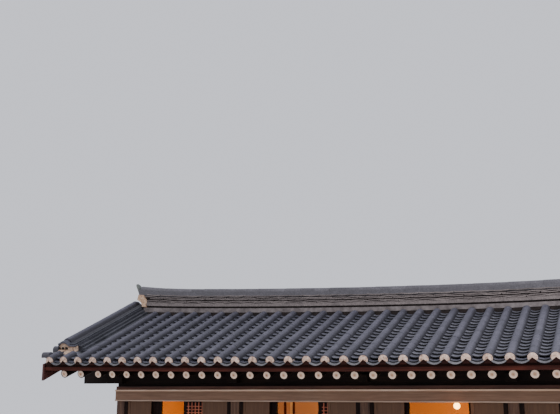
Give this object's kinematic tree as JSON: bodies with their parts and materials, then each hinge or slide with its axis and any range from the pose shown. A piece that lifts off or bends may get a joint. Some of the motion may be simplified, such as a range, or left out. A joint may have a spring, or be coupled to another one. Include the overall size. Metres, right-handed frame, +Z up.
{
  "type": "hanok house",
  "caption": "Korean timber house, one room deep, with sliding lattice doors along its front, a stone plinth and a curved gable roof of clay tiles.",
  "frame": {"origin": "on the ground below the middle of the house", "axes": "+X along the front towards its right end, +Y from the front to the rear, +Z up"},
  "size_m": [15.76, 5.2, 5.1018],
  "materials": {
    "granite": "rough dressed granite",
    "floor_paper": "oiled floor paper",
    "timber": "aged oiled pine",
    "dark_timber": "dark stained pine",
    "head_timber": "stained boards",
    "plaster": "lime plaster",
    "roof_tile": "unglazed fired clay",
    "lamp_glass": "frosted globe"
  },
  "bodies": {
    "house": {"stone_plinth": "granite", "front_step": "granite", "floor": "floor_paper", "front_frame": "timber", "rear_frame": "timber", "front_purlin": "timber", "rear_purlin": "timber", "ridge_purlin": "timber", "front_rafters": "timber", "rear_rafters": "timber", "cross_beam_1": "timber", "cross_beam_2": "timber", "cross_beam_3": "timber", "cross_beam_4": "timber", "cross_beam_5": "timber", "cross_beam_6": "timber", "cross_beam_7": "timber", "front_head_box": "head_timber", "front_roof": "roof_tile", "rear_roof": "roof_tile", "main_ridge": "roof_tile", "front_left_ridge": "roof_tile", "front_right_ridge": "roof_tile", "rear_left_ridge": "roof_tile", "rear_right_ridge": "roof_tile", "left_gable_board": "dark_timber", "right_gable_board": "dark_timber", "rear_window_left": "dark_timber", "rear_window_right": "dark_timber", "left_window": "dark_timber", "right_window": "dark_timber", "front_screen_1": "dark_timber", "front_screen_2": "dark_timber", "front_screen_3": "dark_timber", "front_screen_4": "dark_timber", "front_screen_5": "dark_timber", "front_screen_6": "dark_timber", "rear_wall": "plaster", "left_wall": "plaster", "right_wall": "plaster", "left_gable": "plaster", "right_gable": "plaster", "lamp": "lamp_glass"},
    "leaf_1_left": {"door_leaf_1_left": "dark_timber"},
    "leaf_1_right": {"door_leaf_1_right": "dark_timber"},
    "leaf_2_left": {"door_leaf_2_left": "dark_timber"},
    "leaf_2_right": {"door_leaf_2_right": "dark_timber"},
    "leaf_3_left": {"door_leaf_3_left": "dark_timber"},
    "leaf_3_right": {"door_leaf_3_right": "dark_timber"}
  },
  "joints": [
    {"name": "slide_1_left", "type": "slide", "parent": "house", "child": "leaf_1_left", "axis": [1, 0, 0], "range_m": [-0.203, 0.3325]},
    {"name": "slide_1_right", "type": "slide", "parent": "house", "child": "leaf_1_right", "axis": [-1, 0, 0], "range_m": [-0.423, 0.1125]},
    {"name": "slide_2_left", "type": "slide", "parent": "house", "child": "leaf_2_left", "axis": [1, 0, 0], "range_m": [-0.138, 0.3975]},
    {"name": "slide_2_right", "type": "slide", "parent": "house", "child": "leaf_2_right", "axis": [-1, 0, 0], "range_m": [-0.2, 0.3355]},
    {"name": "slide_3_left", "type": "slide", "parent": "house", "child": "leaf_3_left", "axis": [1, 0, 0], "range_m": [-0.088, 0.4475]},
    {"name": "slide_3_right", "type": "slide", "parent": "house", "child": "leaf_3_right", "axis": [-1, 0, 0], "range_m": [-0.056, 0.4795]}
  ]
}
